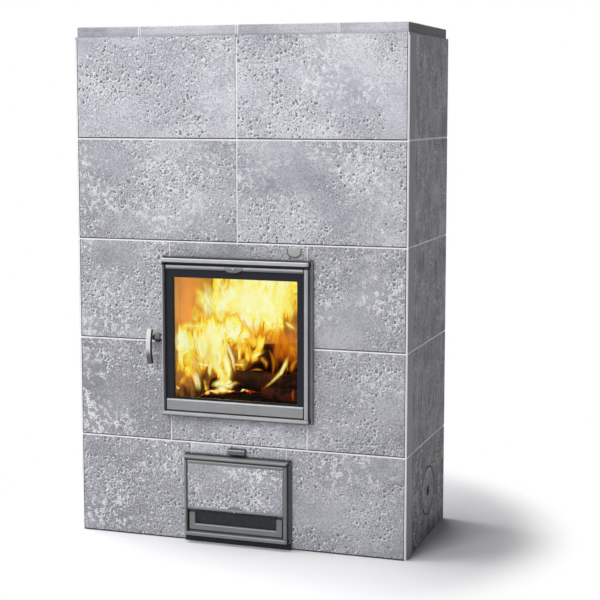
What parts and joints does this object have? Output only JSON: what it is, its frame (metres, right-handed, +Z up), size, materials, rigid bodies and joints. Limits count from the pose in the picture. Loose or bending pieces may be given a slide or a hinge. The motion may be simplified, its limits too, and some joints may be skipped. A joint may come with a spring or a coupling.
{
  "type": "soapstone stove",
  "caption": "Tall block-shaped heat-storing stove of soapstone slabs with a glazed fire door, an ash door below it, a pull-out air control and round soot hatches low on the sides.",
  "frame": {"origin": "centre of the footprint on the floor", "axes": "+Z up, the front with both doors faces -Y, +X to the right seen from the front"},
  "size_m": [1.2, 0.6095, 1.784],
  "materials": {
    "soapstone": "honed, clouded grey with dark spots and pale flecks",
    "core_stone": "sawn, plain grey",
    "fire_lining": "fired lining, sooty on the fire side",
    "mortar": "white, fine grained",
    "insulation": "loose mineral board",
    "door_steel": "satin grey",
    "bright_steel": "satin bright",
    "black_steel": "matt black",
    "door_glass": "clear heat-proof glass with a black border",
    "rope_seal": "braided fibre rope, charcoal",
    "grate_iron": "rough, sooty",
    "sheet_steel": "dull mill finish",
    "badge_metal": "satin, blank"
  },
  "bodies": {
    "root": {"front_c1_left": "soapstone", "front_c1_right": "soapstone", "front_c1_filler": "soapstone", "front_c2_left": "soapstone", "front_c2_right": "soapstone", "front_c2_sill": "soapstone", "front_c3_left": "soapstone", "front_c3_right": "soapstone", "front_c3_lintel": "soapstone", "front_c4_left": "soapstone", "front_c4_right": "soapstone", "front_c5_left": "soapstone", "front_c5_right": "soapstone", "left_side_slabs": "soapstone", "right_side_slabs": "soapstone", "left_hatch_slab": "soapstone", "right_hatch_slab": "soapstone", "back_slabs": "soapstone", "back_flue_slab": "soapstone", "cap_slabs": "soapstone", "base_slab": "core_stone", "base_blocks": "core_stone", "firebox_floor": "core_stone", "throat_plate": "core_stone", "upper_core_walls": "core_stone", "heat_store_blocks": "core_stone", "inner_top_slab": "core_stone", "joint_mortar": "mortar", "firebox_lining": "fire_lining", "top_insulation": "insulation", "grate": "grate_iron", "ash_pan": "sheet_steel", "flue_sleeve": "sheet_steel", "badge": "badge_metal", "threshold_plate": "black_steel", "main_door_frame": "door_steel", "lower_door_frame": "door_steel", "hinge_pins": "bright_steel"},
    "main_door": {"main_door_leaf": "door_steel", "main_door_glass": "door_glass", "glass_seal": "rope_seal", "glass_retainer": "black_steel", "main_door_seal": "rope_seal", "glass_rails": "door_steel", "glass_clip": "bright_steel", "glass_clip_screw": "bright_steel"},
    "main_handle": {"handle_lever": "bright_steel", "handle_shaft": "bright_steel"},
    "lower_door": {"lower_door_leaf": "door_steel", "lower_stone_panel": "soapstone", "panel_rails": "door_steel", "panel_screw": "bright_steel", "air_window_plate": "door_steel", "air_baffle": "black_steel", "lower_door_seal": "rope_seal"},
    "air_control": {"air_control_knob": "bright_steel", "air_control_rod": "bright_steel", "air_damper_plate": "black_steel"},
    "soot_hatch_right": {"soot_plug_right": "soapstone"},
    "soot_hatch_left": {"soot_plug_left": "soapstone"}
  },
  "joints": [
    {"name": "main_door_hinge", "type": "hinge", "parent": "root", "child": "main_door", "pos_m": [0.258, -0.302, 0.721], "axis": [0, 0, 1], "range_deg": [0, 110]},
    {"name": "handle_turn", "type": "hinge", "parent": "main_door", "child": "main_handle", "pos_m": [-0.283, -0.302, 0.717], "axis": [-1, 0, 0], "range_deg": [0, 60]},
    {"name": "ash_door_hinge", "type": "hinge", "parent": "root", "child": "lower_door", "pos_m": [0.182, -0.2995, 0.1675], "axis": [0, 0, 1], "range_deg": [0, 110]},
    {"name": "air_control_pull", "type": "slide", "parent": "root", "child": "air_control", "axis": [0, -1, 0], "range_m": [0, 0.035]},
    {"name": "right_hatch_pull", "type": "slide", "parent": "root", "child": "soot_hatch_right", "axis": [1, 0, 0], "range_m": [0, 0.07]},
    {"name": "left_hatch_pull", "type": "slide", "parent": "root", "child": "soot_hatch_left", "axis": [-1, 0, 0], "range_m": [0, 0.07]}
  ]
}
